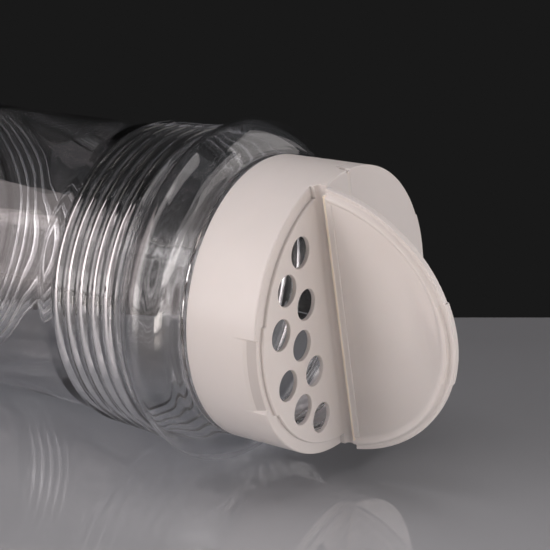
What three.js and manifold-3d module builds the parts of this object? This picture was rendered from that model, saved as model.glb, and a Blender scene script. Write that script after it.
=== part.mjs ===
// Clear ribbed spice jar lying on its side, with a white two-flap shaker cap.
// Millimetres. The jar is drawn standing on its base in its own group (x = sift
// side of the cap, y = along the flap hinges, z = up the jar), and that group is
// then laid down so that the jar's axis is world +X and the floor is z = 0.
import * as THREE from 'three';
import * as BufferGeometryUtils from 'three/addons/utils/BufferGeometryUtils.js';
import Module from 'manifold-3d';

const wasm = await Module();
wasm.setup();

// ---------------------------------------------------------------- dimensions
const CAP_R = 28.6;            // outside radius of the cap
const SKIRT_H = 15.45;         // skirt height below the ledge
const LEDGE_Z = 145.0;         // height of the cap's ledge above the base
const DECK_R = 26.2;           // raised deck that carries the holes
const DECK_TAB_R = 26.8, DECK_TAB_HALF = 20.5;   // its wider part behind the tab
const DECK_Z = LEDGE_Z + 0.8;
const FLAP_TOP = LEDGE_Z + 3.0;    // top of the centre bar and of a shut flap
const BAR_HALF = 3.6;          // half width of the centre bar
const CAP_IN_R = 27.0;         // bore of the skirt
const CAP_SEGS = 48;

const HINGE_U = 4.2;           // hinge lines, either side of the bar
const HINGE_Z = FLAP_TOP - 0.25;
const PLATE_EDGE = 4.8;        // where a shut flap's plate begins
const PLATE_T = 1.0;
const RIM_IN = 26.6, RIM_FOOT_R = 27.3, RIM_OUT = 28.25;   // rim: bore, foot, root
const RIM_TAB_IN = 27.2, RIM_TAB_OUT = 28.1;
const RIM_FOOT = LEDGE_Z + 0.3;
const TAB_R = 29.1, TAB_HALF = 17.2;      // thumb tab: lip radius, half angle
const RECESS_HALF = 15.6;      // thumb recess in the skirt, half angle
const SIFT_OPEN = 91;          // how far the sift flap stands open, degrees

const HOLE_R = 3.0;            // nine sift holes
const HOLES = [[21.15, 14.8], [21.15, -14.8], [21.15, 37.1], [21.15, -37.1],
  [21.15, 57.8], [21.15, -57.8], [13.6, 32], [13.6, -32], [14.5, 0]];

const NECK_OUT = 25.2, NECK_IN = 24.2, LIP_Z = 142.6;
const THREAD_PITCH = 25.4 / 6, THREAD_TURNS = 1.25;
const JAR_THREAD_R = 26.4, CAP_THREAD_R = 25.65;
const JAR_THREAD_Z = 135.2;    // centre of the jar thread's lower end

const JAR_R = 35.0;            // bumper rings, on which the jar lies
const WALL = 0.85;
const JAR_SEGS = 36;
const ROLL = 12.6;             // how far the cap's sift side dips below level
const MID_X = 86.33;           // half the overall length

const rad = THREE.MathUtils.degToRad;

// ------------------------------------------------------------------- helpers
function outward(geo) {
  // index, merge and drop slivers, then make sure that the faces point out
  let g = geo.clone();
  for (const k of Object.keys(g.attributes)) if (k !== 'position') g.deleteAttribute(k);
  g = BufferGeometryUtils.mergeVertices(g, 1e-4);
  const p = g.attributes.position, ix = g.index.array, keep = [];
  let vol = 0;
  const a = new THREE.Vector3(), b = new THREE.Vector3(), c = new THREE.Vector3();
  for (let i = 0; i < ix.length; i += 3) {
    const [i0, i1, i2] = [ix[i], ix[i + 1], ix[i + 2]];
    if (i0 === i1 || i1 === i2 || i0 === i2) continue;
    keep.push(i0, i1, i2);
    a.fromBufferAttribute(p, i0); b.fromBufferAttribute(p, i1); c.fromBufferAttribute(p, i2);
    vol += a.dot(b.cross(c));
  }
  if (vol < 0) for (let i = 0; i < keep.length; i += 3) [keep[i], keep[i + 1]] = [keep[i + 1], keep[i]];
  const out = new THREE.BufferGeometry();
  out.setAttribute('position', p.clone());
  out.setIndex(keep);
  return out;
}

function solid(geo) {
  const g = outward(geo);
  return new wasm.Manifold(new wasm.Mesh({
    numProp: 3,
    vertProperties: new Float32Array(g.attributes.position.array),
    triVerts: new Uint32Array(g.index.array),
  }));
}

function surface(man) {
  const m = man.getMesh();
  const g = new THREE.BufferGeometry();
  g.setAttribute('position', new THREE.BufferAttribute(new Float32Array(m.vertProperties), 3));
  g.setIndex(new THREE.BufferAttribute(new Uint32Array(m.triVerts), 1));
  g.computeVertexNormals();
  return g;
}

// turn an [r, z] profile about the z axis; phase is the polar angle of a corner
function turned(profile, segs, phase = 0) {
  const pts = profile.map(([r, z]) => new THREE.Vector2(r, z));
  const g = new THREE.LatheGeometry(pts, segs, rad(phase + 90), Math.PI * 2);
  g.rotateX(Math.PI / 2);
  return g;
}

function block(x0, x1, y0, y1, z0, z1) {
  const g = new THREE.BoxGeometry(x1 - x0, y1 - y0, z1 - z0);
  g.translate((x0 + x1) / 2, (y0 + y1) / 2, (z0 + z1) / 2);
  return g;
}

function slab(points, z0, z1) {
  const s = new THREE.Shape(points.map(([x, y]) => new THREE.Vector2(x, y)));
  const g = new THREE.ExtrudeGeometry(s, { depth: z1 - z0, bevelEnabled: false, steps: 1 });
  g.translate(0, 0, z0);
  return g;
}

const polar = (r, deg) => [r * Math.cos(rad(deg)), r * Math.sin(rad(deg))];

function arc(r, from, to, n) {
  const out = [];
  for (let i = 0; i <= n; i++) out.push(polar(r, from + (to - from) * i / n));
  return out;
}

// helical ridge of trapezoid section; its ends run out into the wall
function ridge(rootR, crestR, rootW, crestW, z0, pitch, turns, stepsPerTurn) {
  const n = Math.round(turns * stepsPerTurn), pos = [], idx = [];
  for (let i = 0; i <= n; i++) {
    const t = i / stepsPerTurn, th = t * Math.PI * 2, z = z0 + pitch * t;
    const ends = Math.min(1, Math.min(i, n - i) / 2 + 0.12);
    const cr = rootR + (crestR - rootR) * ends;
    for (const [r, dz] of [[rootR, -rootW / 2], [cr, -crestW / 2], [cr, crestW / 2], [rootR, rootW / 2]])
      pos.push(r * Math.cos(th), r * Math.sin(th), z + dz);
  }
  for (let i = 0; i < n; i++) for (let k = 0; k < 4; k++) {
    const a = i * 4 + k, b = i * 4 + (k + 1) % 4, c = a + 4, d = b + 4;
    idx.push(a, b, c, b, d, c);
  }
  idx.push(0, 2, 1, 0, 3, 2);
  const e = n * 4;
  idx.push(e, e + 1, e + 2, e, e + 2, e + 3);
  const g = new THREE.BufferGeometry();
  g.setAttribute('position', new THREE.Float32BufferAttribute(pos, 3));
  g.setIndex(idx);
  return g;
}

// an [r, z] section swept about the z axis through part of a turn
function swept(section, from, to, steps) {
  const n = section.length, pos = [], idx = [];
  for (let i = 0; i <= steps; i++) {
    const a = rad(from + (to - from) * i / steps);
    for (const [r, z] of section) pos.push(r * Math.cos(a), r * Math.sin(a), z);
  }
  for (let i = 0; i < steps; i++) for (let k = 0; k < n; k++) {
    const a = i * n + k, b = i * n + (k + 1) % n, c = a + n, d = b + n;
    idx.push(a, b, c, b, d, c);
  }
  const tris = THREE.ShapeUtils.triangulateShape(section.map(([r, z]) => new THREE.Vector2(r, z)), []);
  const clockwise = THREE.ShapeUtils.isClockWise(section.map(([r, z]) => new THREE.Vector2(r, z)));
  for (const [a, b, c] of tris) {
    if (clockwise) idx.push(a, b, c, steps * n + a, steps * n + c, steps * n + b);
    else idx.push(a, c, b, steps * n + a, steps * n + b, steps * n + c);
  }
  const g = new THREE.BufferGeometry();
  g.setAttribute('position', new THREE.Float32BufferAttribute(pos, 3));
  g.setIndex(idx);
  return g;
}

function piece(name, geometry, colour, roughness, extra = {}) {
  const m = new THREE.Mesh(geometry, new THREE.MeshStandardMaterial({
    color: colour, roughness, metalness: 0, ...extra }));
  m.name = name;
  return m;
}

// ------------------------------------------------------------------ jar body
// Clear blown shell: flat standing ring, bumper ring, five ribs, plain panel,
// five ribs, bumper ring, shoulder, support ring and threaded neck.
const down = 90 - ROLL;                          // polar angle that faces the floor
const jarPhase = down + 180 / JAR_SEGS;
const fl = 1 / Math.cos(Math.PI / JAR_SEGS);     // keeps the flats on the radius

const ribs = [                                   // crest height, crest radius
  [28.9, 32.8], [32.2, 32.55], [35.5, 32.4], [38.8, 32.3], [42.1, 32.2],
  [100.5, 32.2], [103.8, 32.3], [107.1, 32.4], [110.4, 32.55], [113.7, 32.8]];
const RIB_DEPTH = 0.95;

function ribOuter([z, r]) {
  return [[r - RIB_DEPTH, z - 1.15], [r, z - 0.5], [r, z + 0.5], [r - RIB_DEPTH, z + 1.15]];
}
function ribInner([z, r]) {
  return [[r - RIB_DEPTH - WALL, z - 1.2], [r - WALL, z]];
}

const outerWall = [
  [0, 3.4], [14, 2.9], [21, 1.4], [24.5, 0], [30.5, 0], [33.0, 1.0], [34.5, 2.9], [JAR_R, 5.6],
  [JAR_R, 23.0], [34.3, 24.1], [32.6, 25.7], [31.9, 26.6],
  ...ribs.slice(0, 5).flatMap(ribOuter),
  [31.2, 45.6], [30.9, 71.3], [31.2, 97.0],
  ...ribs.slice(5).flatMap(ribOuter),
  [31.9, 116.0], [32.6, 116.9], [34.3, 118.5], [JAR_R, 119.6],
  [JAR_R, 123.9], [34.7, 125.0], [33.9, 126.0], [32.6, 126.9], [30.9, 127.5], [28.9, 127.8],
  [28.3, 128.2], [28.3, 129.0], [26.2, 129.2], [NECK_OUT, 129.6],
  [NECK_OUT, LIP_Z - 0.4], [NECK_OUT - 0.4, LIP_Z],
];
const innerWall = [
  [NECK_IN + 0.3, LIP_Z], [NECK_IN, LIP_Z - 0.3], [NECK_IN, 129.0], [25.0, 127.7],
  [28.2, 126.7], [30.9, 126.3], [32.3, 125.6], [33.4, 124.6], [JAR_R - WALL - 0.05, 123.2],
  [JAR_R - WALL - 0.05, 120.0], [33.2, 118.6], [31.5, 116.9],
  ...ribs.slice(5).reverse().flatMap(([z, r]) => [[r - WALL, z], [r - RIB_DEPTH - WALL, z - 1.65]]),
  [30.05, 71.3],
  ...ribs.slice(0, 5).reverse().flatMap(([z, r]) => [[r - RIB_DEPTH - WALL, z + 1.65], [r - WALL, z]]),
  [31.5, 25.4], [33.2, 23.9], [JAR_R - WALL, 22.4],
  [JAR_R - WALL, 6.2], [33.6, 3.6], [32.2, 2.0], [30.3, 1.2], [25.0, 1.2], [21.4, 2.8], [14, 4.4], [0, 5.0],
];
const flats = (pts) => pts.map(([r, z]) => [r * fl, z]);
let jar = solid(turned([...flats(outerWall), ...flats(innerWall)], JAR_SEGS, jarPhase));
jar = jar.add(solid(ridge(NECK_OUT - 0.55, JAR_THREAD_R, 2.5, 0.9, JAR_THREAD_Z,
  THREAD_PITCH, THREAD_TURNS, 36)));

// ------------------------------------------------------------------ cap body
const skirtFoot = LEDGE_Z - SKIRT_H;
const capShell = solid(turned([
  [0, DECK_Z], [DECK_R - 0.15, DECK_Z], [DECK_R, DECK_Z - 0.15], [DECK_R, LEDGE_Z],
  [CAP_R - 0.3, LEDGE_Z], [CAP_R, LEDGE_Z - 0.3], [CAP_R, skirtFoot + 0.2], [CAP_R - 0.2, skirtFoot],
  [CAP_IN_R + 0.3, skirtFoot], [CAP_IN_R, skirtFoot + 0.5], [CAP_IN_R, LEDGE_Z - 1.3],
  [24.6, LEDGE_Z - 1.3], [24.45, LEDGE_Z - 0.1], [0, LEDGE_Z - 0.1],
], CAP_SEGS));
const drum = solid(turned([[0, LEDGE_Z - 1.3], [CAP_R, LEDGE_Z - 1.3], [CAP_R, FLAP_TOP - 0.15],
  [CAP_R - 0.15, FLAP_TOP], [0, FLAP_TOP]], CAP_SEGS));
const bar = drum.intersect(solid(block(-BAR_HALF, BAR_HALF, -40, 40, LEDGE_Z - 1.0, FLAP_TOP + 1)));
const wide = [[DECK_R - 1.2, LEDGE_Z - 0.5], [DECK_TAB_R, LEDGE_Z - 0.5],
  [DECK_TAB_R, DECK_Z], [DECK_R - 1.2, DECK_Z]];
let cap = capShell.add(bar)
  .add(solid(swept(wide, -DECK_TAB_HALF, DECK_TAB_HALF, 6)))
  .add(solid(swept(wide, 180 - DECK_TAB_HALF, 180 + DECK_TAB_HALF, 6)))
  .subtract(solid(block(-2.3, 2.3, -20.5, 20.5, LEDGE_Z - 2, FLAP_TOP - 1.2)));

for (const [r, a] of HOLES) {
  const h = new THREE.CylinderGeometry(HOLE_R, HOLE_R, 6, 16);
  h.rotateX(Math.PI / 2);
  h.rotateZ(rad(11.25));
  h.translate(...polar(r, a), DECK_Z);
  cap = cap.subtract(solid(h));
}
// pour opening of the spoon side: a D with rounded corners
const POUR_R = 23.0, POUR_FLAT = 6.4;
const pourAngle = THREE.MathUtils.radToDeg(Math.acos((POUR_FLAT + 2.2) / POUR_R)) - 3;
cap = cap.subtract(solid(slab([
  ...arc(POUR_R, 180 - pourAngle, 180 + pourAngle, 20),
  [-POUR_FLAT - 0.7, -19.3], [-POUR_FLAT, -18.0], [-POUR_FLAT, 18.0], [-POUR_FLAT - 0.7, 19.3],
], LEDGE_Z - 2, DECK_Z + 1)));

// thumb recess in the skirt under each flap's tab: a flat band, then a slope
for (const side of [0, 180]) {
  cap = cap.subtract(solid(swept([
    [CAP_R - 0.95, LEDGE_Z + 1], [CAP_R - 0.95, LEDGE_Z - 1.9], [CAP_R - 0.8, LEDGE_Z - 1.9],
    [CAP_R, LEDGE_Z - 5.0], [CAP_R + 2, LEDGE_Z - 5.0], [CAP_R + 2, LEDGE_Z + 1],
  ], side - RECESS_HALF, side + RECESS_HALF, 6)));
}
cap = cap.add(solid(ridge(CAP_IN_R + 0.6, CAP_THREAD_R, 2.4, 0.9,
  JAR_THREAD_Z - THREAD_PITCH / 2, THREAD_PITCH, THREAD_TURNS, 48)));

// --------------------------------------------------------------------- flaps
// A half disc with a rim below it and a thumb tab at the middle of its arc,
// drawn shut on the +x side.
function flapSolid() {
  const t0 = THREE.MathUtils.radToDeg(Math.acos(PLATE_EDGE / CAP_R));
  const outline = [
    ...arc(CAP_R, -t0, -TAB_HALF - 1.2, 14),
    ...arc(TAB_R, -TAB_HALF, TAB_HALF, 10),
    ...arc(CAP_R, TAB_HALF + 1.2, t0, 14)];
  const root = FLAP_TOP - PLATE_T + 0.2, deg = DECK_TAB_HALF + 0.8;
  const sloped = [[RIM_IN, RIM_FOOT], [RIM_FOOT_R, RIM_FOOT], [RIM_OUT, root], [RIM_IN, root]];
  const steep = [[RIM_TAB_IN, RIM_FOOT], [RIM_TAB_OUT, RIM_FOOT], [RIM_OUT, root], [RIM_TAB_IN, root]];
  const rim = solid(swept(sloped, -90, -deg, 14)).add(solid(swept(steep, -deg, deg, 8)))
    .add(solid(swept(sloped, deg, 90, 14)))
    .intersect(solid(block(PLATE_EDGE + 0.15, 40, -40, 40, RIM_FOOT - 1, FLAP_TOP)));
  return solid(slab(outline, FLAP_TOP - PLATE_T, FLAP_TOP))
    .add(rim)
    .subtract(solid(block(0, PLATE_EDGE + 1.75, -25.2, 25.2, RIM_FOOT - 1, FLAP_TOP - PLATE_T + 0.35)));
}

// thin web of a living hinge, section given in (x, z)
function web(section, half) {
  const s = new THREE.Shape(section.map(([x, z]) => new THREE.Vector2(x, z)));
  const g = new THREE.ExtrudeGeometry(s, { depth: 2 * half, bevelEnabled: false, steps: 1 });
  g.rotateX(Math.PI / 2);
  g.translate(0, half, 0);
  return g;
}
const WEB_T = 0.35, WEB_HALF = 26, w0 = HINGE_Z - 0.15, w1 = w0 + WEB_T;
const shutWeb = web([[-3.9, w0], [-3.9, w1], [-4.5, w1], [-4.5, w0]], WEB_HALF);
const bentWeb = web([[3.9, w0], [HINGE_U + 0.175, w0], [HINGE_U + 0.175, HINGE_Z + 0.26],
  [HINGE_U - 0.175, HINGE_Z + 0.26], [HINGE_U - 0.175, w1], [3.9, w1]], WEB_HALF);

// ------------------------------------------------------------------ assembly
const PET = '#dfe6ea', WHITE = '#ded6d1';
const upright = new THREE.Group();
upright.add(piece('jar_body', surface(jar), PET, 0.05, { transparent: true, opacity: 0.35 }));
upright.add(piece('seal_ring', outward(turned([[24.5, LIP_Z + 0.3], [25.9, LIP_Z + 0.3],
  [25.9, LIP_Z + 0.8], [24.5, LIP_Z + 0.8], [24.5, LIP_Z + 0.3]], CAP_SEGS)), '#f2efe9', 0.7));
upright.add(piece('cap_body', surface(cap), WHITE, 0.42));
upright.add(piece('sift_flap_hinge', outward(bentWeb), WHITE, 0.4));
upright.add(piece('spoon_flap_hinge', outward(shutWeb), WHITE, 0.4));

const siftPivot = new THREE.Group();
siftPivot.position.set(HINGE_U, 0, HINGE_Z);
siftPivot.rotation.y = -rad(SIFT_OPEN);
const sift = piece('sift_flap', surface(flapSolid()), WHITE, 0.42);
sift.position.set(-HINGE_U, 0, -HINGE_Z);
siftPivot.add(sift);
upright.add(siftPivot);

const spoon = piece('spoon_flap', surface(flapSolid()), WHITE, 0.42);
spoon.rotation.z = Math.PI;
upright.add(spoon);

// lay the jar down: local x, y, z become the cap's sift, hinge and axis directions
const c = Math.cos(rad(ROLL)), s = Math.sin(rad(ROLL));
upright.applyMatrix4(new THREE.Matrix4().makeBasis(
  new THREE.Vector3(0, -c, -s), new THREE.Vector3(0, s, -c), new THREE.Vector3(1, 0, 0)));
upright.position.set(-MID_X, 0, JAR_R);

const group = new THREE.Group();
group.add(upright);
export default group;
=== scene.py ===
import bpy
import bmesh
import math
import numpy as np
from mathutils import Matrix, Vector
from mathutils.geometry import delaunay_2d_cdt


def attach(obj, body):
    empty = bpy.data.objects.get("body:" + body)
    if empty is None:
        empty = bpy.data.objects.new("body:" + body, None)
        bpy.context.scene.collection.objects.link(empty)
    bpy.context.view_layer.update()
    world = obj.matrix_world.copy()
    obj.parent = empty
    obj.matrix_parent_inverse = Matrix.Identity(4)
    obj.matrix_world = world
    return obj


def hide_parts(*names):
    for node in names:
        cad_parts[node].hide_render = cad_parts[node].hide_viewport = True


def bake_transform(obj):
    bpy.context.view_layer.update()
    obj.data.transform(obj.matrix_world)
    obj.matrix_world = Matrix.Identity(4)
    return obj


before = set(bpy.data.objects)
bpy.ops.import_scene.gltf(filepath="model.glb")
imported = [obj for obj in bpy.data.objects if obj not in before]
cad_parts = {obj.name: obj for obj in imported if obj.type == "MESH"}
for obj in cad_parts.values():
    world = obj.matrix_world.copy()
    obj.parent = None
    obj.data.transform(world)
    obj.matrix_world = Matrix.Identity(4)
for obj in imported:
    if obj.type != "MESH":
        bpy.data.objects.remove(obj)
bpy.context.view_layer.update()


# ---------------------------------------------------------------- dimensions
# Millimetres, with the jar standing on its base: u = sift side of the cap,
# v = along the flap hinges, z = up the jar. place() lays it down in metres.
ROLL = math.radians(12.6)
MID, AXIS = 86.33, 35.0
CAP_R, SKIRT_H, LEDGE = 28.6, 15.45, 145.0
DECK = LEDGE + 0.8
TOP = LEDGE + 3.0
HINGE_U, HINGE_Z = 4.2, TOP - 0.25
OPEN = math.radians(91)
HOLES = [(21.15, 14.8), (21.15, -14.8), (21.15, 37.1), (21.15, -37.1),
         (21.15, 57.8), (21.15, -57.8), (13.6, 32.0), (13.6, -32.0), (14.5, 0.0)]
HOLE_R = 3.0
PITCH = 25.4 / 6
WALL = 0.85
cR, sR = math.cos(ROLL), math.sin(ROLL)


def place(points):
    p = np.asarray(points, float).reshape(-1, 3)
    u, v, z = p[:, 0], p[:, 1], p[:, 2]
    return np.stack([z - MID, -cR * u + sR * v, -sR * u - cR * v + AXIS], 1) * 1e-3


def smooth(x):
    x = np.clip(x, 0.0, 1.0)
    return x * x * (3 - 2 * x)


# -------------------------------------------------------------- mesh helpers
def mesh_object(name, points, faces, material, placed=False):
    me = bpy.data.meshes.new(name)
    co = np.asarray(points, float) if placed else place(points)
    me.from_pydata([tuple(c) for c in co], [], [tuple(int(i) for i in f) for f in faces])
    me.validate()
    ob = bpy.data.objects.new(name, me)
    bpy.context.scene.collection.objects.link(ob)
    bm = bmesh.new()
    bm.from_mesh(me)
    bmesh.ops.recalc_face_normals(bm, faces=bm.faces)
    if bm.calc_volume(signed=True) < 0:
        bmesh.ops.reverse_faces(bm, faces=bm.faces)
    bm.to_mesh(me)
    bm.free()
    me.materials.append(material)
    for p in me.polygons:
        p.use_smooth = True
    return ob


def apply_modifiers(ob):
    deps = bpy.context.evaluated_depsgraph_get()
    deps.update()
    done = bpy.data.meshes.new_from_object(ob.evaluated_get(deps), depsgraph=deps)
    old = ob.data
    done.name = old.name
    ob.modifiers.clear()
    ob.data = done
    bpy.data.meshes.remove(old)


def boolean(ob, other, operation):
    m = ob.modifiers.new("cut", "BOOLEAN")
    m.operation, m.solver, m.object = operation, "EXACT", other
    apply_modifiers(ob)
    me = other.data
    bpy.data.objects.remove(other)
    bpy.data.meshes.remove(me)


def finish_shading(ob, angle=32, weight=60, flat=0.0):
    me = ob.data
    for p in me.polygons:
        p.use_smooth = True
    bm = bmesh.new()
    bm.from_mesh(me)
    bmesh.ops.remove_doubles(bm, verts=bm.verts, dist=2e-7)
    bmesh.ops.dissolve_degenerate(bm, edges=bm.edges, dist=1e-7)
    if flat:
        bmesh.ops.dissolve_limit(bm, angle_limit=math.radians(flat), verts=bm.verts, edges=bm.edges)
    lim = math.radians(angle)
    for e in bm.edges:
        e.smooth = not (len(e.link_faces) == 2 and e.calc_face_angle(0.0) > lim)
    bm.to_mesh(me)
    bm.free()
    m = ob.modifiers.new("normals", "WEIGHTED_NORMAL")
    m.keep_sharp, m.weight, m.mode = True, weight, "FACE_AREA_WITH_ANGLE"
    apply_modifiers(ob)


def rounded(points, keep=1.0, rounds=3, tol=0.006, longest=3.5):
    """Open control polygon -> smooth curve, thinned where it is straight."""
    pts = [np.array(p, float) for p in points]
    full = [pts[0]]
    for a, b in zip(pts[:-1], pts[1:]):
        length = np.linalg.norm(b - a)
        if length > 2 * keep:
            full += [a + (b - a) * keep / length, b - (b - a) * keep / length]
        full.append(b)
    p = np.array(full)
    for _ in range(rounds):
        q = np.empty((2 * (len(p) - 1), 2))
        q[0::2] = 0.75 * p[:-1] + 0.25 * p[1:]
        q[1::2] = 0.25 * p[:-1] + 0.75 * p[1:]
        p = np.vstack([p[:1], q, p[-1:]])
    keepers = [0]
    i = 0
    while i < len(p) - 1:
        j = i + 1
        while j + 1 < len(p):
            k = j + 1
            a, b = p[i], p[k]
            d = b - a
            length = np.linalg.norm(d)
            if length > longest:
                break
            m = p[i + 1:k] - a
            off = np.abs(m[:, 0] * d[1] - m[:, 1] * d[0]) / max(length, 1e-9)
            if off.max() > tol:
                break
            j = k
        keepers.append(j)
        i = j
    out = p[keepers]
    filled = [out[0]]
    for a, b in zip(out[:-1], out[1:]):
        n = max(1, int(math.ceil(np.linalg.norm(b - a) / longest)))
        filled += [a + (b - a) * k / n for k in range(1, n + 1)]
    return np.array(filled)


def angles(count, extra=()):
    """Angles round a full turn, with more of them near the given ones."""
    th = set(np.round(np.arange(count) * 2 * math.pi / count, 7))
    for centre, offsets in extra:
        for o in offsets:
            th.add(round((centre + math.radians(o)) % (2 * math.pi), 7))
    th = np.array(sorted(th))
    gap = np.diff(np.append(th, th[0] + 2 * math.pi))
    return th[gap > 1e-4]


def rings(points_of, th, count):
    """Stack of closed rings: points_of(k) -> (n, 3) for ring k."""
    return np.vstack([points_of(k) for k in range(count)])


def strip_faces(n, count, start=0, wrap=True):
    faces = []
    for k in range(count - 1):
        a0, b0 = start + k * n, start + (k + 1) * n
        for i in range(n if wrap else n - 1):
            j = (i + 1) % n
            faces.append((a0 + i, a0 + j, b0 + j, b0 + i))
    return faces


def inside(points, loop):
    p, q = np.asarray(points), np.asarray(loop)
    x, y = p[:, 0], p[:, 1]
    out = np.zeros(len(p), bool)
    for (x0, y0), (x1, y1) in zip(q, np.roll(q, -1, 0)):
        hit = (y0 > y) != (y1 > y)
        with np.errstate(divide="ignore", invalid="ignore"):
            out ^= hit & (x < (x1 - x0) * (y - y0) / (y1 - y0 + 1e-30) + x0)
    return out


def fill(loops, index):
    """Flat face between an outer loop and holes; loops hold (n, 2) arrays and
    index holds the mesh index of every loop's points."""
    co = [Vector((float(a), float(b))) for lp in loops for a, b in lp]
    ids = [i for ix in index for i in ix]
    edges, at = [], 0
    for lp in loops:
        n = len(lp)
        edges += [(at + i, at + (i + 1) % n) for i in range(n)]
        at += n
    verts, _, tris, orig, _, _ = delaunay_2d_cdt(co, edges, [], 0, 1e-7)
    cen = np.array([[sum(verts[i][0] for i in t) / len(t), sum(verts[i][1] for i in t) / len(t)] for t in tris])
    good = inside(cen, loops[0])
    for lp in loops[1:]:
        good &= ~inside(cen, lp)
    back = [o[0] if o else None for o in orig]
    return [tuple(ids[back[i]] for i in t) for t, g in zip(tris, good) if g and all(back[i] is not None for i in t)]


# ------------------------------------------------------------------ materials
def nodes_of(name):
    m = bpy.data.materials.new(name)
    m.use_nodes = True
    nt = m.node_tree
    b = nt.nodes["Principled BSDF"]
    tc = nt.nodes.new("ShaderNodeTexCoord")
    return m, nt, b, tc


def noise(nt, tc, scale, detail=3.0, rough=0.5, distort=0.0):
    n = nt.nodes.new("ShaderNodeTexNoise")
    n.inputs["Scale"].default_value = scale
    n.inputs["Detail"].default_value = detail
    n.inputs["Roughness"].default_value = rough
    n.inputs["Distortion"].default_value = distort
    nt.links.new(tc.outputs["Object"], n.inputs["Vector"])
    return n


def ramp(nt, src, stops):
    r = nt.nodes.new("ShaderNodeValToRGB")
    el = r.color_ramp.elements
    while len(el) < len(stops):
        el.new(0.5)
    for e, (pos, col) in zip(el, stops):
        e.position = pos
        e.color = (col, col, col, 1) if isinstance(col, (int, float)) else (*col, 1)
    nt.links.new(src, r.inputs["Fac"])
    return r


def mapped(nt, src, lo, hi):
    m = nt.nodes.new("ShaderNodeMapRange")
    m.inputs["From Min"].default_value = 0.3
    m.inputs["From Max"].default_value = 0.7
    m.inputs["To Min"].default_value = lo
    m.inputs["To Max"].default_value = hi
    nt.links.new(src, m.inputs["Value"])
    return m


def bump(nt, src, b, strength, distance, before=None):
    n = nt.nodes.new("ShaderNodeBump")
    n.inputs["Strength"].default_value = strength
    n.inputs["Distance"].default_value = distance
    nt.links.new(src, n.inputs["Height"])
    if before is not None:
        nt.links.new(before.outputs["Normal"], n.inputs["Normal"])
    nt.links.new(n.outputs["Normal"], b.inputs["Normal"])
    return n


def polypropylene(name, light=(0.81, 0.77, 0.752), dark=(0.79, 0.75, 0.73), sss=0.04, scale=0.0012):
    m, nt, b, tc = nodes_of(name)
    cloud = noise(nt, tc, 55, 4, 0.55, 0.4)
    col = ramp(nt, cloud.outputs["Fac"], [(0.35, dark), (0.65, light)])
    nt.links.new(col.outputs["Color"], b.inputs["Base Color"])
    fine = noise(nt, tc, 900, 3, 0.6)
    r = mapped(nt, fine.outputs["Fac"], 0.33, 0.42)
    nt.links.new(r.outputs["Result"], b.inputs["Roughness"])
    grain = noise(nt, tc, 2600, 2, 0.5)
    sink = noise(nt, tc, 140, 2, 0.5)
    first = bump(nt, sink.outputs["Fac"], b, 0.25, 0.00006)
    bump(nt, grain.outputs["Fac"], b, 0.22, 0.000012, first)
    b.inputs["IOR"].default_value = 1.49
    b.inputs["Subsurface Weight"].default_value = sss
    b.inputs["Subsurface Radius"].default_value = (1.0, 0.62, 0.42)
    b.inputs["Subsurface Scale"].default_value = scale
    return m


def clear_plastic(name):
    m, nt, b, tc = nodes_of(name)
    haze = noise(nt, tc, 45, 3, 0.5, 0.3)
    col = ramp(nt, haze.outputs["Fac"], [(0.3, (0.928, 0.936, 0.95)), (0.7, (0.955, 0.96, 0.97))])
    nt.links.new(col.outputs["Color"], b.inputs["Base Color"])
    rough = mapped(nt, haze.outputs["Fac"], 0.005, 0.016)
    nt.links.new(rough.outputs["Result"], b.inputs["Roughness"])
    peel = noise(nt, tc, 160, 2, 0.45)
    bump(nt, peel.outputs["Fac"], b, 0.12, 0.00004)
    b.inputs["IOR"].default_value = 1.57
    b.inputs["Transmission Weight"].default_value = 1.0
    lp = nt.nodes.new("ShaderNodeLightPath")
    tr = nt.nodes.new("ShaderNodeBsdfTransparent")
    tr.inputs["Color"].default_value = (0.57, 0.58, 0.6, 1)
    mix = nt.nodes.new("ShaderNodeMixShader")
    out = nt.nodes["Material Output"]
    nt.links.new(lp.outputs["Is Shadow Ray"], mix.inputs["Fac"])
    nt.links.new(b.outputs["BSDF"], mix.inputs[1])
    nt.links.new(tr.outputs["BSDF"], mix.inputs[2])
    nt.links.new(mix.outputs["Shader"], out.inputs["Surface"])
    return m


def foam(name):
    m, nt, b, tc = nodes_of(name)
    cell = noise(nt, tc, 1500, 4, 0.7)
    col = ramp(nt, cell.outputs["Fac"], [(0.35, (0.74, 0.72, 0.68)), (0.65, (0.84, 0.82, 0.78))])
    nt.links.new(col.outputs["Color"], b.inputs["Base Color"])
    r = mapped(nt, cell.outputs["Fac"], 0.7, 0.9)
    nt.links.new(r.outputs["Result"], b.inputs["Roughness"])
    bump(nt, cell.outputs["Fac"], b, 0.6, 0.00008)
    return m


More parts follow.
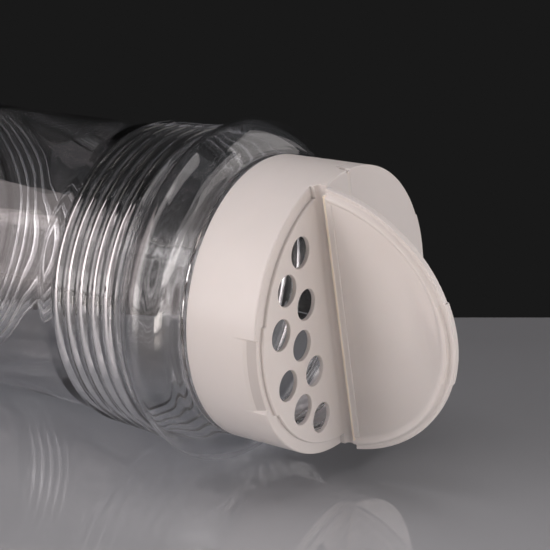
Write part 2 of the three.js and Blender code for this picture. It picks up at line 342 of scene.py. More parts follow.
def tabletop(name):
    m, nt, b, tc = nodes_of(name)
    wide = noise(nt, tc, 6, 3, 0.5)
    # The floor colour darkens away from the camera side and turns a warm pale beyond the near edge of view: painted
    # light falloff across the floor, and a painted warm bounce near the cap.
    sep = nt.nodes.new("ShaderNodeVectorMath")
    sep.operation = "DOT_PRODUCT"
    sep.inputs[1].default_value = (0.5612, -0.8277, 0.0)
    nt.links.new(tc.outputs["Object"], sep.inputs[0])
    fade = nt.nodes.new("ShaderNodeMapRange")
    fade.inputs["From Min"].default_value = -0.05
    fade.inputs["From Max"].default_value = 0.46
    fade.inputs["To Min"].default_value = 0.266
    fade.inputs["To Max"].default_value = 0.88
    nt.links.new(sep.outputs["Value"], fade.inputs["Value"])
    both = nt.nodes.new("ShaderNodeMath")
    both.operation = "MULTIPLY_ADD"
    both.inputs[1].default_value = 0.02
    nt.links.new(wide.outputs["Fac"], both.inputs[0])
    nt.links.new(fade.outputs["Result"], both.inputs[2])
    col = ramp(nt, both.outputs["Value"], [(0.0, (0.0, 0.0, 0.0)), (0.415, (0.405, 0.418, 0.444)), (0.49, (0.95, 0.86, 0.78))])
    nt.links.new(col.outputs["Color"], b.inputs["Base Color"])
    fine = noise(nt, tc, 220, 4, 0.6)
    r = mapped(nt, fine.outputs["Fac"], 0.02, 0.04)
    nt.links.new(r.outputs["Result"], b.inputs["Roughness"])
    bump(nt, wide.outputs["Fac"], b, 0.05, 0.0002)
    b.inputs["IOR"].default_value = 1.85
    return m


PP = polypropylene("white_polypropylene")
# The hinge strips are a lighter, warmer tone than the plate: a painted glow for light shining through the thin hinge.
# The stronger subsurface is real translucency.
WEB = polypropylene("living_hinge_painted_glow_polypropylene", (0.84, 0.79, 0.75), (0.81, 0.76, 0.72), 0.15, 0.0008)
# Light cream copy of the polypropylene: a painted highlight on the hinge bead.
BEAD_PAINTED_HIGHLIGHT = polypropylene("hinge_bead_painted_highlight_polypropylene", (0.97, 0.87, 0.75), (0.95, 0.84, 0.71), 0.2, 0.0008)
# Darker copy of the polypropylene: painted shade for the thumb recesses and the groove round the deck.
RECESS_PAINTED_SHADE = polypropylene("recess_painted_shade_polypropylene", (0.66, 0.624, 0.608), (0.64, 0.603, 0.588), 0.04, 0.0012)
PET = clear_plastic("clear_pet_plastic")
FOAM = foam("seal_foam")
TABLE = tabletop("tabletop_painted_falloff")

# ------------------------------------------------------------------------ jar
ribs = [(28.9, 32.8), (32.2, 32.55), (35.5, 32.4), (38.8, 32.3), (42.1, 32.2),
        (100.5, 32.2), (103.8, 32.3), (107.1, 32.4), (110.4, 32.55), (113.7, 32.8)]
DEPTH = 0.95


def rib_out(z, r):
    return [(r - DEPTH, z - 1.25), (r, z - 0.62), (r, z + 0.62), (r - DEPTH, z + 1.25)]


outer = [(0, 3.1), (1.6, 3.1), (2.2, 3.45), (14, 2.9), (21, 1.4), (24.5, 0), (30.5, 0), (33.0, 1.0),
         (34.5, 2.9), (35.0, 5.6), (35.0, 23.0), (34.3, 24.1), (32.6, 25.7), (31.9, 26.6)]
for z, r in ribs[:5]:
    outer += rib_out(z, r)
outer += [(31.2, 45.6), (30.98, 55.0), (30.9, 71.3), (30.98, 87.0), (31.2, 97.0)]
for z, r in ribs[5:]:
    outer += rib_out(z, r)
outer += [(31.85, 115.7), (32.2, 116.7), (33.2, 118.2), (34.3, 119.8), (34.9, 121.3), (35.0, 122.3), (34.85, 123.5),
          (34.3, 124.7), (33.3, 125.8), (32.0, 126.7), (30.5, 127.4), (28.9, 127.8), (28.3, 128.1), (28.3, 129.05),
          (26.2, 129.2), (25.2, 129.6), (25.2, 142.2), (24.8, 142.6)]
inner = [(24.5, 142.6), (24.2, 142.3), (24.2, 129.0), (25.0, 127.7), (28.2, 126.7), (30.7, 126.2),
         (32.2, 125.4), (33.3, 124.3), (33.95, 123.1), (34.12, 122.1), (34.02, 121.1), (33.5, 119.8),
         (32.45, 118.4), (31.3, 116.9)]
for z, r in reversed(ribs[5:]):
    inner += [(r - WALL, z + 0.35), (r - WALL, z - 0.35), (r - DEPTH - WALL + 0.25, z - 1.65)]
inner += [(30.25, 95.0), (30.05, 71.3), (30.25, 47.6)]
for z, r in reversed(ribs[:5]):
    inner += [(r - DEPTH - WALL + 0.25, z + 1.65), (r - WALL, z + 0.35), (r - WALL, z - 0.35)]
inner += [(31.5, 25.4), (33.2, 23.9), (34.15, 22.4), (34.15, 6.2), (33.6, 3.6), (32.2, 2.0),
          (30.3, 1.2), (25.0, 1.2), (21.4, 2.8), (14, 4.4), (0, 5.0)]


def thread(th, z, z0, turns, root_half, crest_half):
    """0..1 height of a right-hand helical ridge at angle th and height z."""
    out = np.zeros(np.broadcast(th, z).shape)
    for k in range(2):
        t = (th % (2 * math.pi)) / (2 * math.pi) + k
        d = np.abs(z - (z0 + PITCH * t))
        h = np.clip((root_half - d) / (root_half - crest_half), 0, 1)
        ends = smooth(np.minimum(t, turns - t) / 0.05)
        out = np.maximum(out, smooth(h) * np.where((t >= 0) & (t <= turns), ends, 0))
    return out


SEAMS = [math.radians(-37.6), math.radians(142.4)]


def build_jar():
    o = rounded(outer, 1.1, 3, 0.0045, 3.2)
    i = rounded(inner, 1.3, 3, 0.007, 4.0)
    # the thread needs rings of its own up the neck
    neck = np.arange(130.0, 142.0, 0.36)
    o = np.vstack([o[o[:, 1] < 129.9], [[25.2, z] for z in neck], o[(o[:, 1] > 142.0)]])
    prof = np.vstack([o[1:], i[:-1]])
    is_out = np.r_[np.ones(len(o) - 1), np.zeros(len(i) - 1)]
    th = angles(264, [(s, (-0.62, -0.42, -0.25, -0.1, 0.1, 0.25, 0.42, 0.62)) for s in SEAMS])
    n = len(th)
    pts = []
    for (r, z), out in zip(prof, is_out):
        rr = np.full(n, r)
        zz = np.full(n, z)
        fade = smooth((r - 8) / 12)
        if out:
            body = smooth((z - 1.0) / 4) * smooth((128.6 - z) / 1.0)
            wave = (0.012 * np.sin(3 * th + 0.7 + z / 21) + 0.006 * np.sin(5 * th - z / 19 + 2.1)
                    + 0.008 * np.sin(2 * th + z / 17)) * body
            seam = sum(np.exp(-((((th - s + math.pi) % (2 * math.pi)) - math.pi) * r / 0.17) ** 2) for s in SEAMS)
            lift = 0.003 + 0.032 * smooth((r - 31.9) / 0.5)
            rr = rr + wave * fade + lift * seam * smooth((z - 0.6) / 3) * smooth((129.0 - z) / 0.4)
            if 129.9 < z < 142.0:
                rr = rr + 1.2 * thread(th, zz, 135.2, 1.25, 1.25, 0.45)
        else:
            body = smooth((z - 2.0) / 5) * smooth((128.0 - z) / 2.0)
            wave = (0.02 * np.sin(2 * th + 1.3 - z / 25) + 0.008 * np.sin(5 * th + z / 21 + 0.4)) * body
            rr = rr + wave * fade
        pts.append(np.stack([rr * np.cos(th), rr * np.sin(th), zz], 1))
    m = len(prof)
    verts = np.vstack(pts + [[[0, 0, o[0][1]], [0, 0, i[-1][1]]]])
    faces = strip_faces(n, m)
    a, b = n * m, n * m + 1
    faces += [(a, (k + 1) % n, k) for k in range(n)]
    base = (m - 1) * n
    faces += [(b, base + k, base + (k + 1) % n) for k in range(n)]
    ob = mesh_object("jar_shell", verts, faces, PET)
    print("jar", n, m, 2 * n * m)
    return ob


jar = build_jar()
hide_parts("jar_body")
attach(jar, "jar")


# ------------------------------------------------------------------ seal ring
def build_seal():
    th = angles(160)
    sec = [(24.5, 143.0), (24.6, 142.92), (25.8, 142.92), (25.9, 143.0), (25.9, 143.32),
           (25.8, 143.4), (24.6, 143.4), (24.5, 143.32)]
    n, m = len(th), len(sec)
    verts = np.vstack([np.stack([r * np.cos(th), r * np.sin(th), np.full(n, z)], 1) for r, z in sec])
    faces = strip_faces(n, m)
    faces += [((m - 1) * n + i, (m - 1) * n + (i + 1) % n, (i + 1) % n, i) for i in range(n)]
    ob = mesh_object("seal_liner", verts, faces, FOAM)
    finish_shading(ob, 60)
    return ob


seal = build_seal()
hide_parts("seal_ring")
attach(seal, "seal")


# ------------------------------------------------------------------- cap body
def off_axis(th):
    """Angle from the nearer of the two tabs, in degrees."""
    a = np.degrees(np.abs((th + math.pi) % (2 * math.pi) - math.pi))
    return np.minimum(a, 180 - a)


def deck_radius(th):
    return 26.25 + 0.55 * smooth((20.8 - off_axis(th)) / 0.7)


def recess(th):
    return smooth((16.0 - off_axis(th)) / 0.8)


def d_outline(flat, radius, corner, arc_n=64, corner_n=10, flat_n=24):
    """Rounded half disc on the +u side: points and outward normals."""
    rc = radius - corner
    t0 = math.acos((flat + corner) / rc)
    pts, nrm = [], []
    for t in np.linspace(-t0, t0, arc_n):
        pts.append((radius * math.cos(t), radius * math.sin(t)))
        nrm.append((math.cos(t), math.sin(t)))
    cx, cy = rc * math.cos(t0), rc * math.sin(t0)
    for a in np.linspace(t0, math.pi, corner_n)[1:]:
        pts.append((cx + corner * math.cos(a), cy + corner * math.sin(a)))
        nrm.append((math.cos(a), math.sin(a)))
    for v in np.linspace(cy, -cy, flat_n)[1:-1]:
        pts.append((flat, v))
        nrm.append((-1, 0))
    for a in np.linspace(math.pi, 2 * math.pi - t0, corner_n)[:-1]:
        pts.append((cx + corner * math.cos(a), -cy + corner * math.sin(a)))
        nrm.append((math.cos(a), math.sin(a)))
    return np.array(pts), np.array(nrm)


FOOT = LEDGE - SKIRT_H


def skirt_rings(th):
    """Rings from the deck's top edge, over the ledge, down the skirt, up the
    bore and in to the deck's underside: list of (radius array, height)."""
    dr = deck_radius(th)
    rec = recess(th)
    one = np.ones_like(th)
    out = []
    for a in np.linspace(0, 90, 5):
        q = math.radians(a)
        out.append((dr - 0.22 * (1 - math.sin(q)), DECK - 0.22 * (1 - math.cos(q))))
    out += [(dr + 0.0, LEDGE + 0.45), (dr, LEDGE + 0.14), (dr + 0.04, LEDGE + 0.04), (dr + 0.14, LEDGE)]
    edge = CAP_R - 0.93 * rec
    out += [(dr + 0.3, LEDGE), (edge - 0.42, LEDGE)]
    for a in np.linspace(0, 90, 5):
        q = math.radians(a)
        out.append((edge - 0.3 * (1 - math.sin(q)), LEDGE - 0.3 * (1 - math.cos(q))))

    def depth(d):
        if d < 2.7:
            return 0.95 - 0.8 * d / 2.7
        return 0.15 * (1 - (d - 2.7) / 2.3) if d < 5.0 else 0.0

    for d in [0.5, 1.0, 1.5, 2.0, 2.4, 2.62, 2.7, 2.78, 3.2, 3.8, 4.4, 4.85, 5.0, 5.15]:
        out.append((CAP_R - depth(d) * rec, LEDGE - d))
    d = 6.0
    while d < SKIRT_H - 0.5:
        mark = 0.022 * math.sin(2 * math.pi * (d - 5.4) / 3.7) * smooth((d - 5.4) / 2) * smooth((SKIRT_H - 1 - d) / 1.5)
        wob = 0.012 * np.sin(3 * th + d / 3)
        out.append(((CAP_R + mark) * one + wob * smooth((d - 5.4) / 3), LEDGE - d))
        d += 0.5
    for a in np.linspace(0, 90, 5):
        q = math.radians(a)
        out.append(((CAP_R - 0.25 * (1 - math.cos(q))) * one, FOOT + 0.25 * (1 - math.sin(q))))
    out += [(27.5 * one, FOOT), (27.25 * one, FOOT + 0.08), (27.05 * one, FOOT + 0.3), (27.0 * one, FOOT + 0.6)]
    z = FOOT + 0.9
    while z < LEDGE - 2.0:
        r = 27.0 - 1.35 * thread(th, z, 135.2 - PITCH / 2, 1.25, 1.2, 0.45)
        out.append((r, z))
        z += 0.36
    out += [(27.0 * one, LEDGE - 1.9), (26.95 * one, LEDGE - 1.55), (26.6 * one, LEDGE - 1.32), (26.2 * one, LEDGE - 1.3),
            (24.9 * one, LEDGE - 1.3), (24.65 * one, LEDGE - 1.2), (24.55 * one, LEDGE - 0.95), (24.5 * one, LEDGE - 0.35),
            (24.35 * one, LEDGE - 0.12), (24.1 * one, LEDGE - 0.1)]
    return out


def build_cap():
    jog = (-21.2, -20.8, -20.45, -20.1, -19.7, -16.5, -16.0, -15.8, -15.6, -15.4, -15.2, -14.7,
           14.7, 15.2, 15.4, 15.6, 15.8, 16.0, 16.5, 19.7, 20.1, 20.45, 20.8, 21.2)
    th = angles(200, [(0.0, jog), (math.pi, jog)])
    n = len(th)
    secs = skirt_rings(th)
    verts = [np.stack([r * np.cos(th), r * np.sin(th), np.full(n, z)], 1) for r, z in secs]
    faces = strip_faces(n, len(secs))
    at = n * len(secs)
    top_loops = [verts[0][:, :2]]
    top_index = [list(range(n))]
    low_loops = [verts[-1][:, :2]]
    low_index = [list(range(n * (len(secs) - 1), at))]

    walls = []
    k = 40
    a = np.arange(k) * 2 * math.pi / k
    for r, deg in HOLES:
        c = np.array([r * math.cos(math.radians(deg)), r * math.sin(math.radians(deg))])
        nrm = np.stack([np.cos(a), np.sin(a)], 1)
        walls.append((c + HOLE_R * nrm, nrm))
    p, q = d_outline(6.4, 23.0, 2.2)
    walls.append((p * [-1, 1], -q * [1, -1] * [1, 1]))
    low = LEDGE - 0.1
    for p, q in walls:
        if q is walls[-1][1]:
            q = np.stack([-d_outline(6.4, 23.0, 2.2)[1][:, 0], d_outline(6.4, 23.0, 2.2)[1][:, 1]], 1)
        w = [(0.16, DECK), (0.09, DECK - 0.012), (0.03, DECK - 0.06), (0.0, DECK - 0.16), (-0.02, low + 0.14), (0.02, low + 0.04), (0.12, low)]
        start = at
        for o, z in w:
            verts.append(np.column_stack([p + o * q, np.full(len(p), z)]))
        faces += strip_faces(len(p), len(w), start)
        top_loops.append(verts[-len(w)][:, :2])
        top_index.append(list(range(start, start + len(p))))
        low_loops.append(verts[-1][:, :2])
        low_index.append(list(range(start + len(p) * (len(w) - 1), start + len(p) * len(w))))
        at += len(p) * len(w)
    faces += fill(top_loops, top_index)
    faces += fill(low_loops, low_index)
    ob = mesh_object("cap_shell", np.vstack(verts), faces, PP)

    # centre bar: rounded section along the hinge direction, ends on the drum
    f = 0.9
    sec = [(-3.6 - f, LEDGE - 0.55), (3.6 + f, LEDGE - 0.55), (3.6 + f, DECK - 0.02)]
    sec += [(3.6 + f - f * math.sin(math.radians(t)), DECK + f - f * math.cos(math.radians(t))) for t in (15, 30, 45, 60, 75)]
    sec += [(3.6, DECK + f)]
    g = 0.3
    sec += [(3.6 - g + g * math.cos(math.radians(t)), TOP - g + g * math.sin(math.radians(t))) for t in (0, 18, 36, 54, 72, 90)]
    sec += [(-x, z) for x, z in reversed(sec[2:])]
    sec = np.array(sec)
    vs = np.linspace(-40, 40, 3)
    bv = np.vstack([np.column_stack([sec[:, 0], np.full(len(sec), v), sec[:, 1]]) for v in vs])
    bf = strip_faces(len(sec), len(vs))
    bf += [tuple(range(len(sec))), tuple(range(len(sec) * 2, len(sec) * 3))]
    bar = mesh_object("bar", bv, bf, PP)
    dr = CAP_R - 0.012
    prof = [(LEDGE - 0.9, dr), (TOP - 0.3, dr)] + [(TOP - 0.3 + 0.3 * math.sin(math.radians(t)), dr - 0.3 + 0.3 * math.cos(math.radians(t)))
                                                  for t in (18, 36, 54, 72, 90)]
    prof += [(TOP + 0.4, dr - 0.3)]
    td = angles(360)
    dv = np.vstack([np.stack([r * np.cos(td), r * np.sin(td), np.full(len(td), z)], 1) for z, r in prof])
    df = strip_faces(len(td), len(prof)) + [tuple(range(len(td))), tuple(range(len(td) * (len(prof) - 1), len(td) * len(prof)))]
    drum = mesh_object("drum", dv, df, PP)
    boolean(bar, drum, "INTERSECT")
    boolean(ob, bar, "UNION")
    x, y, z0, z1 = 2.3, 20.5, LEDGE - 3, TOP - 1.2
    hv = [(a_, b_, c_) for c_ in (z0, z1 - 0.3) for a_, b_ in ((-x, -y), (x, -y), (x, y), (-x, y))]
    hv += [(a_, b_, z1) for a_, b_ in ((-x + 0.3, -y + 0.3), (x - 0.3, -y + 0.3), (x - 0.3, y - 0.3), (-x + 0.3, y - 0.3))]
    hf = strip_faces(4, 3) + [(0, 1, 2, 3), (8, 9, 10, 11)]
    boolean(ob, mesh_object("slot", hv, hf, PP), "DIFFERENCE")
    finish_shading(ob, 34)
    return ob


cap = build_cap()
# The thumb recesses and the groove round the deck are a tone darker: painted shade where the recess floor and the
# groove wall fall in shadow.
cap.data.materials.append(RECESS_PAINTED_SHADE)
for face in cap.data.polygons:
    x, y, z = [1000 * c for c in face.center]
    u = abs(math.cos(ROLL) * y + math.sin(ROLL) * (z - 35.0))
    r, z = math.hypot(y, z - 35.0), x + 86.33 - LEDGE
    if (27.2 < r < CAP_R - 0.1 and -2.05 < z < -0.3 and u > r * math.cos(math.radians(15.0))) or (26.1 < r < 27.0 and 0.0 < z < 0.46 and abs(face.normal.x) < 0.8):
        face.material_index = 1

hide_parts("cap_body")
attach(cap, "cap")

# ---------------------------------------------------------------------- flaps
UND = TOP - 1.0


def tab_jog(t_deg, half=17.2, w=0.5):
    return smooth((half + w / 2 - np.abs(t_deg)) / w)


def flap_outline(flat, corner, radius, tab, tilt=0.0):
    """Half disc with a thumb tab, shut on the +u side: points and normals."""
    rc = radius - corner
    t0 = math.degrees(math.acos((flat + corner) / rc))
    arc = np.array(sorted(set(list(np.round(np.linspace(-t0, t0, 150), 5))
                              + [s * a for s in (-1, 1) for a in (16.4, 16.75, 16.95, 17.1, 17.2, 17.3, 17.45, 17.65, 18.0)])))
    pts, nrm = [], []
    for d in arc:
        t = math.radians(d)
        r = radius + tab * float(tab_jog(d))
        pts.append((r * math.cos(t), r * math.sin(t)))
    p = np.array(pts)
    g = np.gradient(p, axis=0)
    q = np.stack([g[:, 1], -g[:, 0]], 1)
    q /= np.linalg.norm(q, axis=1)[:, None]
    pts, nrm = [tuple(x) for x in p], [tuple(x) for x in q]
    cx, cy = rc * math.cos(math.radians(t0)), rc * math.sin(math.radians(t0))
    for a in np.linspace(t0, 180, 12)[1:]:
        c, s = math.cos(math.radians(a)), math.sin(math.radians(a))
        pts.append((cx + corner * c, cy + corner * s))
        nrm.append((c, s))
    for v in np.linspace(cy, -cy, 60)[1:-1]:
        pts.append((flat, v))
        nrm.append((-1, 0))
    for a in np.linspace(180, 360 - t0, 12)[:-1]:
        c, s = math.cos(math.radians(a)), math.sin(math.radians(a))
        pts.append((cx + corner * c, -cy + corner * s))
        nrm.append((c, s))
    p = np.array(pts)
    p[:, 0] += tilt * p[:, 1] * smooth((7.5 - p[:, 0]) / 1.8)
    return p, np.array(nrm)


def flap_plate(flat, corner, radius, tab, tilt=0.0):
    p, q = flap_outline(flat, corner, radius, tab, tilt)
    rt, rb = 0.15, 0.15
    w = [(-rt * (1 - math.sin(math.radians(a))), TOP - rt * (1 - math.cos(math.radians(a)))) for a in (0, 22.5, 45, 67.5, 90)]
    w += [(0.0, TOP - 0.5), (0.0, UND + rb)]
    w += [(-rb * (1 - math.cos(math.radians(a))), UND + rb * (1 - math.sin(math.radians(a)))) for a in (30, 60, 90)]
    verts = [np.column_stack([p + o * q, np.full(len(p), z)]) for o, z in w]
    n = len(p)
    faces = strip_faces(n, len(w))
    faces += fill([verts[0][:, :2]], [list(range(n))])
    faces += fill([verts[-1][:, :2]], [list(range(n * (len(w) - 1), n * len(w)))])
    return np.vstack(verts), faces


def sweep(plain_of, tab_of, te, centre, width):
    """Rim swept round the arc; its section changes at the ends of the tab."""
    near = [centre + k * width for k in (-0.75, -0.5, -0.3, -0.1, 0.1, 0.3, 0.5, 0.75)]
    deg = np.array(sorted(set(list(np.round(np.linspace(-te, te, 150), 5)) + [s * a for s in (-1, 1) for a in near])))
    mix = smooth((centre + width / 2 - np.abs(deg)) / width)
    rv = []
    for d, k in zip(deg, mix):
        s = np.array(plain_of(d)) * (1 - k) + np.array(tab_of(d)) * k
        t = math.radians(d)
        rv.append(np.stack([s[:, 0] * math.cos(t), s[:, 0] * math.sin(t), s[:, 1]], 1))
    m = len(rv[0])
    rf = strip_faces(m, len(deg))
    rf += [tuple(range(m)), tuple(range(m * (len(deg) - 1), m * len(deg)))]
    return np.vstack(rv), rf


def low(section):
    return [(r, UND - h) for r, h in section]


def sift_rims():
    """Low ridge and edge bead of the flap over the holes."""
    radius, tab = 28.85, 0.27

    def plain_of(d):
        e = radius + tab * float(tab_jog(d)) - 0.004
        return low([(25.6, -0.35), (26.02, 0.0), (26.28, 0.3), (26.6, 0.6), (26.84, 0.79), (26.98, 0.85), (27.15, 0.85),
                    (27.3, 0.76), (27.58, 0.4), (27.8, 0.1), (27.95, 0.02), (28.22, 0.02), (28.36, 0.12), (28.46, 0.22),
                    (e - 0.2, 0.27), (e - 0.07, 0.23), (e, 0.08), (e, -0.45)])

    def tab_of(d):
        e = radius + tab * float(tab_jog(d)) - 0.004
        return low([(25.6, -0.35), (26.02, 0.0), (26.28, 0.3), (26.6, 0.6), (26.82, 0.8), (26.95, 0.86), (27.36, 0.86),
                    (27.5, 0.8), (27.58, 0.66), (27.68, 0.14), (27.8, 0.03), (28.36, 0.02), (28.56, 0.12), (28.68, 0.22),
                    (e - 0.22, 0.27), (e - 0.08, 0.23), (e, 0.08), (e, -0.45)])

    return flap_plate(5.1, 0.3, radius, tab, 0.008), sweep(plain_of, tab_of, 79.2, 17.2, 0.6)


def spoon_rims():
    """Deep rim of the flap over the pour opening: upright behind the tab and
    level with the skirt elsewhere."""
    radius, tab = CAP_R, 0.3
    c, ft, up = 0.12, LEDGE + 0.12, UND + 0.45

    def plain_of(d):
        e = radius - 0.006
        return [(26.95, up), (26.95, ft + c), (26.95 + 0.3 * c, ft + 0.3 * c), (26.95 + c, ft), (e - c, ft),
                (e - 0.3 * c, ft + 0.3 * c), (e, ft + c), (e, UND + 0.02), (e, up)]

    def tab_of(d):
        return [(27.0, up), (27.0, ft + 0.2 + c), (27.0 + 0.3 * c, ft + 0.2 + 0.3 * c), (27.0 + c, ft + 0.2), (27.62 - c, ft + 0.2),
                (27.62 - 0.3 * c, ft + 0.2 + 0.3 * c), (27.62, ft + 0.2 + c), (27.9, UND + 0.02), (28.1, up)]

    return flap_plate(4.32, 0.4, radius, tab), sweep(plain_of, tab_of, 80.2, 17.6, 0.8)


def hinge_band(half):
    """Bead along the hinge edge with a shallow land that steps down to the plate."""
    sec = low([(4.42, -0.5), (4.42, 0.05), (4.45, 0.22), (4.55, 0.34), (4.68, 0.38), (4.82, 0.34), (4.95, 0.25), (5.1, 0.19), (5.3, 0.17),
               (5.88, 0.17), (5.97, 0.14), (6.05, 0.0), (6.2, -0.4)])
    vs = np.linspace(-half, half, 24)
    verts = np.vstack([np.column_stack([[u + 0.008 * v for u, _ in sec], np.full(len(sec), v), [z for _, z in sec]]) for v in vs])
    m = len(sec)
    return verts, strip_faces(m, len(vs)) + [tuple(range(m)), tuple(range(m * (len(vs) - 1), m * len(vs)))]


def build_flap(name, move, rims, band=None):
    (v, f), (rv, rf) = rims()
    ob = mesh_object(name, move(v), f, PP)
    boolean(ob, mesh_object("rim", move(rv), rf, PP), "UNION")
    if band:
        v, f = hinge_band(band)
        boolean(ob, mesh_object("band", move(v), f, PP), "UNION")
    finish_shading(ob, 34, 60, 0.2)
    return ob


def opened(p, angle=OPEN):
    p = np.asarray(p, float).copy()
    du, dz = p[:, 0] - HINGE_U, p[:, 2] - HINGE_Z
    p[:, 0] = HINGE_U + du * math.cos(angle) - dz * math.sin(angle)
    p[:, 2] = HINGE_Z + du * math.sin(angle) + dz * math.cos(angle)
    return p


def turned(p):
    return np.asarray(p, float) * [-1, -1, 1]


sift = build_flap("sift_lid", opened, sift_rims, 26.75)
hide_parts("sift_flap")
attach(sift, "sift")

# The bead along the hinge is coloured a lighter cream than the plate: a painted highlight for the bright line along the
# hinge.
sift.data.materials.append(BEAD_PAINTED_HIGHLIGHT)
for face in sift.data.polygons:
    x, y, z = [1000 * c for c in face.center]
    u = -math.cos(ROLL) * y - math.sin(ROLL) * (z - 35.0)
    v = math.sin(ROLL) * y - math.cos(ROLL) * (z - 35.0)
    u = opened([[u, v, x + 86.33]], -OPEN)[0][0] - 0.008 * v
    if 4.425 < u < 4.99:
        face.material_index = 1

spoon = build_flap("spoon_lid", turned, spoon_rims)
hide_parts("spoon_flap")
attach(spoon, "spoon")


# ------------------------------------------------------------- living hinges
def build_web(name, path, half, thick, node):
    """Thin strip along the hinge; path holds (u, z) down its middle."""
    path = np.array(path, float)
    d = np.gradient(path, axis=0)
    nrm = np.stack([-d[:, 1], d[:, 0]], 1)
    nrm /= np.linalg.norm(nrm, axis=1)[:, None]
    s = np.linspace(0, 1, len(path))
    t = thick * (1 - 0.18 * np.exp(-((s - 0.5) / 0.16) ** 2))
    a, b = path + nrm * t[:, None] / 2, path - nrm * t[:, None] / 2
    loop = np.vstack([a, b[::-1]])
    vs = np.linspace(-half, half, 60)
    verts = np.vstack([np.column_stack([loop[:, 0], np.full(len(loop), v), loop[:, 1]]) for v in vs])
    m = len(loop)
    faces = strip_faces(m, len(vs)) + [tuple(range(m)), tuple(range(m * (len(vs) - 1), m * len(vs)))]
    ob = mesh_object(name, verts, faces, WEB)
    finish_shading(ob, 50)
    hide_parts(node)
    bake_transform(ob)
    return ob


zc = HINGE_Z
bend = [(3.35, zc + 0.02), (3.6, zc + 0.02), (3.8, zc + 0.02), (3.93, zc + 0.035), (4.04, zc + 0.08), (4.11, zc + 0.16),
        (4.15, zc + 0.27), (4.16, zc + 0.4), (4.16, zc + 0.6), (4.16, zc + 1.1)]
build_web("sift_living_hinge", bend, 26.75, 0.3, "sift_flap_hinge")
flat = [(-3.2, zc + 0.0), (-3.4, zc + 0.03), (-3.6, zc + 0.065), (-3.8, zc + 0.07), (-3.98, zc + 0.065), (-4.15, zc + 0.07), (-4.35, zc + 0.065),
        (-4.5, zc + 0.03), (-4.7, zc + 0.0)]
build_web("spoon_living_hinge", flat, 27.75, 0.3, "spoon_flap_hinge")


# ----------------------------------------------------------------- the table
# The far edge lies across the view, so its line follows the camera's heading.
CAM = np.array([0.19372, -0.22122, 0.11839])
YAW, TILT = 0.595953, 0.286906
ahead = np.array([-math.sin(YAW), math.cos(YAW)])
across = np.array([math.cos(YAW), math.sin(YAW)])
EDGE = 0.362


def build_table():
    near, far, side, thick, r = -1.6, EDGE, 1.9, 0.02, 0.0015
    prof = [(near, -thick)]
    prof += [(near, 0.0)]
    prof += [(near + (far - r - near) * k / 10, 0.0) for k in range(1, 11)]
    prof += [(far - r + r * math.sin(math.radians(a)), -r + r * math.cos(math.radians(a))) for a in (30, 60, 90)]
    prof += [(far, -thick)]
    cols = np.linspace(-side, side, 13)
    pts = []
    for c in cols:
        for d, z in prof:
            xy = CAM[:2] + ahead * d + across * c
            pts.append((xy[0], xy[1], z - 0.00002))
    m = len(prof)
    faces = strip_faces(m, len(cols)) + [tuple(range(m)), tuple(range(m * (len(cols) - 1), m * len(cols)))]
    ob = mesh_object("tabletop", pts, faces, TABLE, placed=True)
    finish_shading(ob, 34)
    return ob


table = build_table()

# --------------------------------------------------------------- light, camera
AIM = Vector((0.02, 0.0, 0.035))


def softbox(name, az, el, dist, width, height, power, colour=(1, 1, 1), aim=AIM, spread=180):
    li = bpy.data.lights.new(name, "AREA")
    li.shape, li.size, li.size_y = "RECTANGLE", width, height
    li.energy, li.color = power, colour
    li.spread = math.radians(spread)
    ob = bpy.data.objects.new(name, li)
    d = Vector((math.cos(math.radians(el)) * math.cos(math.radians(az)),
                math.cos(math.radians(el)) * math.sin(math.radians(az)), math.sin(math.radians(el))))
    ob.location = aim + d * dist
    ob.rotation_euler = d.to_track_quat("Z", "Y").to_euler()
    bpy.context.scene.collection.objects.link(ob)
    ob.visible_camera = False
    return ob


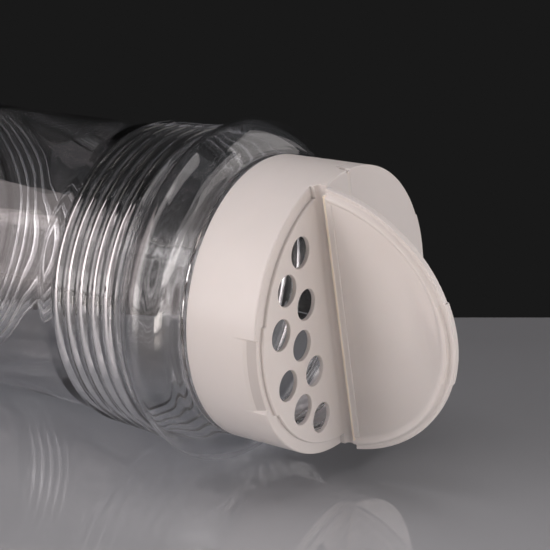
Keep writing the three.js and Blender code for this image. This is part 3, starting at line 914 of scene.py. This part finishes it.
BACK, KEY, SIDE = (1.0, 0.88, 0.87), (1.0, 0.935, 0.92), (1.0, 0.94, 0.925)
softbox("key_far", -150, 20, 0.75, 0.24, 0.62, 0.52, BACK)
softbox("key_back", -134, 20, 0.75, 0.24, 0.62, 0.7, BACK)
softbox("key_mid", -118, 16, 0.75, 0.24, 0.58, 1.25, KEY)
softbox("key_near", -104, 14, 0.75, 0.24, 0.5, 0.34, KEY)
softbox("key_low", -110, 4, 0.74, 0.5, 0.15, 0.5, KEY)
softbox("fill_front", -70, 12, 0.8, 0.36, 0.4, 0.1, SIDE)
softbox("fill_near", -45, 10, 0.8, 0.36, 0.35, 0.15, SIDE)
softbox("side_near", -20, 8, 0.8, 0.36, 0.3, 0.15, SIDE)
softbox("side_mid", 5, 7, 0.8, 0.36, 0.25, 0.34, SIDE)
softbox("side_far", 30, 10, 0.8, 0.36, 0.35, 0.68, SIDE)
softbox("side_back", 55, 20, 0.8, 0.36, 0.6, 0.7, SIDE)
softbox("side_low", 10, 4, 0.8, 0.8, 0.1, 1.3, SIDE)
softbox("high_left", -122, 54, 0.8, 0.3, 0.5, 0.7, KEY)
top = softbox("top", -100, 82, 0.8, 0.6, 0.5, 2.3, KEY)
top.visible_glossy = False
softbox("low_card", -43, -6, 0.085, 0.05, 0.016, 0.0145, (1.0, 0.92, 0.86), Vector((0.086, -0.012, 0.02)))

world = bpy.data.worlds.new("studio")
world.use_nodes = True
world.node_tree.nodes["Background"].inputs["Color"].default_value = (0.0097, 0.0097, 0.0097, 1)
world.node_tree.nodes["Background"].inputs["Strength"].default_value = 1.0
scene = bpy.context.scene
scene.world = world
scene.view_settings.view_transform = "Standard"
scene.view_settings.look = "None"
scene.cycles.max_bounces = 24
scene.cycles.transmission_bounces = 20
scene.cycles.glossy_bounces = 8
scene.cycles.diffuse_bounces = 4
scene.cycles.transparent_max_bounces = 24

cam_data = bpy.data.cameras.new("photo_camera")
cam_data.sensor_width = 36.0
cam_data.lens = 1400.0 * 36.0 / 550.0
cam_data.clip_start, cam_data.clip_end = 0.01, 20.0
cam = bpy.data.objects.new("photo_camera", cam_data)
cam.location = CAM
cam.rotation_euler = (math.pi / 2 - TILT, 0.0, YAW)
scene.collection.objects.link(cam)
scene.camera = cam
